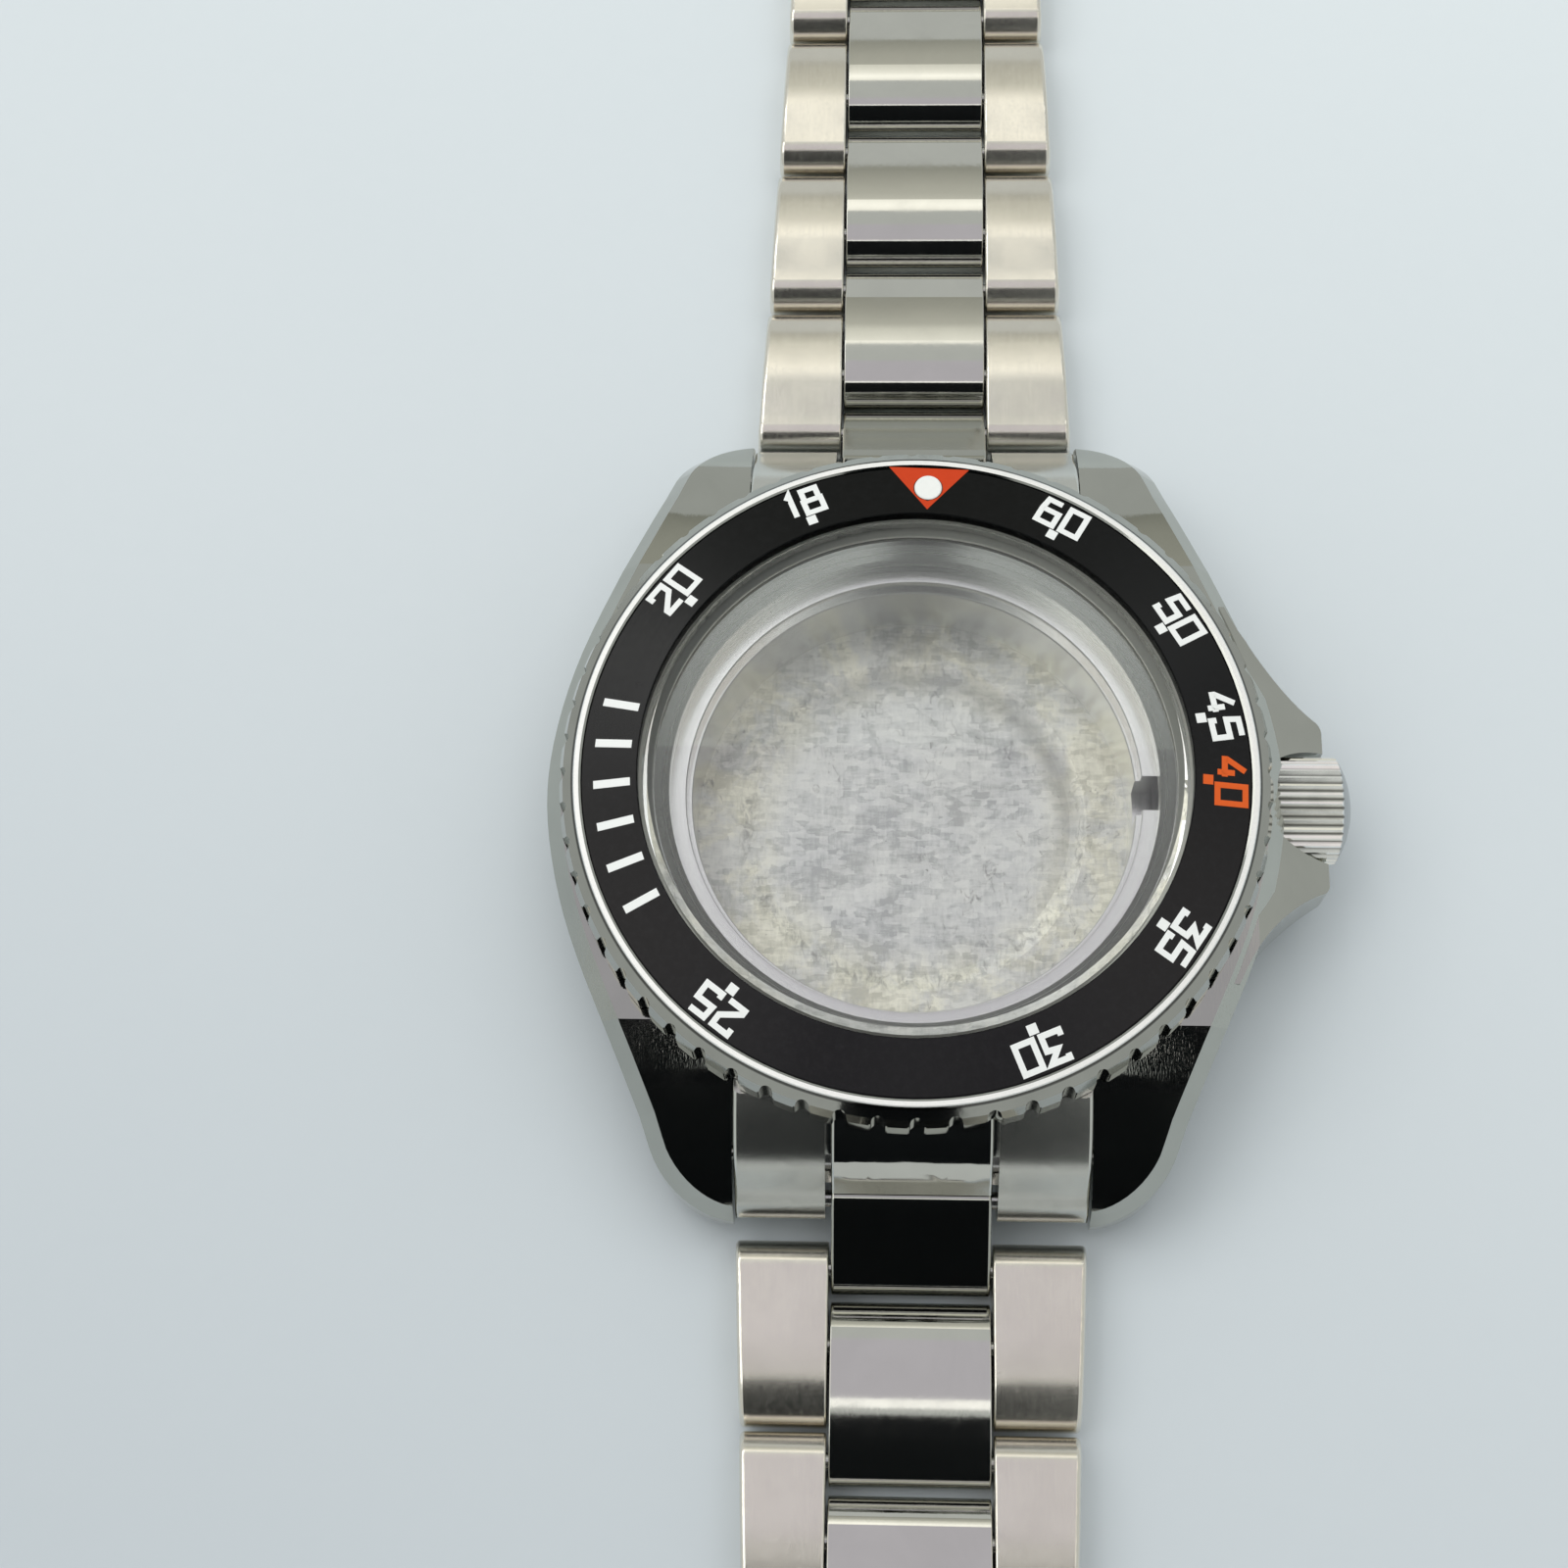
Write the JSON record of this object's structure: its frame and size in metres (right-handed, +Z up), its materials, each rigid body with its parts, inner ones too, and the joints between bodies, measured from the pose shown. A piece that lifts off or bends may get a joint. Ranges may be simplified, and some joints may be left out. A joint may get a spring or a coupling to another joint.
{
  "type": "diver's watch case on bracelet",
  "caption": "Empty diver's watch case with turning bezel, flat crystal, crown and case back, on its three-row steel link bracelet with folding clasp, laid open and flat.",
  "frame": {"origin": "centre of the flat outer face of the case back, on the table", "axes": "+X towards the crown at 3 o'clock, +Y along the bracelet towards 12 o'clock, +Z up through the crystal"},
  "size_m": [0.0471, 0.1891, 0.0127],
  "materials": {
    "polished_steel": "mirror polished stainless steel",
    "bezel_steel": "polished stainless steel",
    "crown_steel": "polished stainless steel, ribbed grip",
    "polished_centre_links": "polished stainless steel",
    "brushed_steel_links": "satin, brushed along the bracelet",
    "brushed_steel_clasp": "satin, brushed along the bracelet",
    "blade_steel": "bright rolled sheet",
    "case_back_steel": "satin, turned inside",
    "inner_steel": "fine turned",
    "rehaut_steel": "fine turned, satin",
    "pin_steel": "drawn wire",
    "crystal_glass": "clear, flat, polished",
    "white_gasket": "moulded",
    "black_rubber": "moulded",
    "insert_black": "satin black with plain numbers",
    "pip_white": "luminous pip"
  },
  "bodies": {
    "case": {"mid_case": "polished_steel", "case_back": "case_back_steel", "case_back_gasket": "black_rubber", "crystal": "crystal_glass", "crystal_gasket": "white_gasket", "rehaut_ring": "rehaut_steel", "movement_ring": "inner_steel", "crown_tube": "inner_steel", "bezel_click_spring": "pin_steel", "bezel_retaining_wire": "pin_steel", "lug_spring_bars": "pin_steel", "end_link_12": "brushed_steel_links", "end_link_6": "brushed_steel_links", "end_link_pins": "pin_steel"},
    "bezel": {"bezel_ring": "bezel_steel", "bezel_insert": "insert_black", "bezel_pip": "pip_white"},
    "crown_slide": {"crown_core": "pin_steel", "crown_spring": "pin_steel", "crown_gasket": "black_rubber"},
    "crown_head": {"crown": "crown_steel"},
    "first_link_12": {"first_centre_link_12": "polished_steel"},
    "first_link_6": {"first_centre_link_6": "polished_steel"},
    "link_12_1": {"link_12_1_sides": "brushed_steel_links", "link_12_1_centre": "polished_centre_links", "link_12_1_pins": "pin_steel"},
    "link_12_2": {"link_12_2_sides": "brushed_steel_links", "link_12_2_centre": "polished_centre_links", "link_12_2_pins": "pin_steel"},
    "link_12_3": {"link_12_3_sides": "brushed_steel_links", "link_12_3_centre": "polished_centre_links", "link_12_3_pins": "pin_steel"},
    "link_12_4": {"link_12_4_sides": "brushed_steel_links", "link_12_4_centre": "polished_centre_links", "link_12_4_pins": "pin_steel"},
    "link_12_5": {"link_12_5_sides": "brushed_steel_links", "link_12_5_centre": "polished_centre_links", "link_12_5_pins": "pin_steel"},
    "link_6_1": {"link_6_1_sides": "brushed_steel_links", "link_6_1_centre": "polished_centre_links", "link_6_1_pins": "pin_steel"},
    "link_6_2": {"link_6_2_sides": "brushed_steel_links", "link_6_2_centre": "polished_centre_links", "link_6_2_pins": "pin_steel"},
    "link_6_3": {"link_6_3_sides": "brushed_steel_links", "link_6_3_centre": "polished_centre_links", "link_6_3_pins": "pin_steel"},
    "link_6_4": {"link_6_4_sides": "brushed_steel_links", "link_6_4_centre": "polished_centre_links", "link_6_4_pins": "pin_steel"},
    "clasp_inner": {"clasp_inner_blade": "blade_steel", "clasp_inner_pins": "pin_steel"},
    "clasp_outer": {"clasp_outer_blade": "blade_steel"},
    "clasp_top": {"clasp_cover": "brushed_steel_clasp", "clasp_cover_pin": "pin_steel", "clasp_lock_pin": "pin_steel", "clasp_spring_bar": "pin_steel"},
    "clasp_lock": {"clasp_flip_lock": "brushed_steel_clasp"}
  },
  "joints": [
    {"name": "bezel_turn", "type": "hinge", "parent": "case", "child": "bezel", "pos_m": [0, 0, 0.011], "axis": [0, 0, 1], "continuous": true},
    {"name": "crown_pull", "type": "slide", "parent": "case", "child": "crown_slide", "axis": [1, 0, 0], "range_m": [0, 0.0015]},
    {"name": "crown_turn", "type": "hinge", "parent": "crown_slide", "child": "crown_head", "pos_m": [0.023, 0, 0.0053], "axis": [1, 0, 0], "continuous": true},
    {"name": "link_12_0_hinge", "type": "hinge", "parent": "case", "child": "first_link_12", "pos_m": [0, 0.023, 0.0039], "axis": [1, 0, 0], "range_deg": [-25, 4]},
    {"name": "link_6_0_hinge", "type": "hinge", "parent": "case", "child": "first_link_6", "pos_m": [0, -0.023, 0.0039], "axis": [1, 0, 0], "range_deg": [-4, 25]},
    {"name": "link_12_1_hinge", "type": "hinge", "parent": "first_link_12", "child": "link_12_1", "pos_m": [0, 0.02665, 0.00155], "axis": [1, 0, 0], "range_deg": [-32, 5]},
    {"name": "link_12_2_hinge", "type": "hinge", "parent": "link_12_1", "child": "link_12_2", "pos_m": [0, 0.03725, 0.00155], "axis": [1, 0, 0], "range_deg": [-32, 5]},
    {"name": "link_12_3_hinge", "type": "hinge", "parent": "link_12_2", "child": "link_12_3", "pos_m": [0, 0.04785, 0.00155], "axis": [1, 0, 0], "range_deg": [-32, 5]},
    {"name": "link_12_4_hinge", "type": "hinge", "parent": "link_12_3", "child": "link_12_4", "pos_m": [0, 0.05845, 0.00155], "axis": [1, 0, 0], "range_deg": [-32, 5]},
    {"name": "link_12_5_hinge", "type": "hinge", "parent": "link_12_4", "child": "link_12_5", "pos_m": [0, 0.06905, 0.00155], "axis": [1, 0, 0], "range_deg": [-32, 5]},
    {"name": "link_6_1_hinge", "type": "hinge", "parent": "first_link_6", "child": "link_6_1", "pos_m": [0, -0.02665, 0.00155], "axis": [1, 0, 0], "range_deg": [-5, 32]},
    {"name": "link_6_2_hinge", "type": "hinge", "parent": "link_6_1", "child": "link_6_2", "pos_m": [0, -0.03725, 0.00155], "axis": [1, 0, 0], "range_deg": [-5, 32]},
    {"name": "link_6_3_hinge", "type": "hinge", "parent": "link_6_2", "child": "link_6_3", "pos_m": [0, -0.04785, 0.00155], "axis": [1, 0, 0], "range_deg": [-5, 32]},
    {"name": "link_6_4_hinge", "type": "hinge", "parent": "link_6_3", "child": "link_6_4", "pos_m": [0, -0.05845, 0.00155], "axis": [1, 0, 0], "range_deg": [-5, 32]},
    {"name": "clasp_link_hinge", "type": "hinge", "parent": "link_6_4", "child": "clasp_inner", "pos_m": [0, -0.06905, 0.00155], "axis": [1, 0, 0], "range_deg": [-5, 30]},
    {"name": "clasp_blade_hinge", "type": "hinge", "parent": "clasp_inner", "child": "clasp_outer", "pos_m": [0, -0.09905, 0.001], "axis": [1, 0, 0], "range_deg": [0, 165]},
    {"name": "clasp_cover_hinge", "type": "hinge", "parent": "clasp_outer", "child": "clasp_top", "pos_m": [0, -0.07365, 0.00215], "axis": [-1, 0, 0], "range_deg": [0, 165]},
    {"name": "clasp_lock_hinge", "type": "hinge", "parent": "clasp_top", "child": "clasp_lock", "pos_m": [0, -0.07805, 0.006], "axis": [1, 0, 0], "range_deg": [0, 100]}
  ],
  "couplings": [
    {"joint": "clasp_cover_hinge", "follows": "clasp_blade_hinge", "ratio": 1}
  ]
}
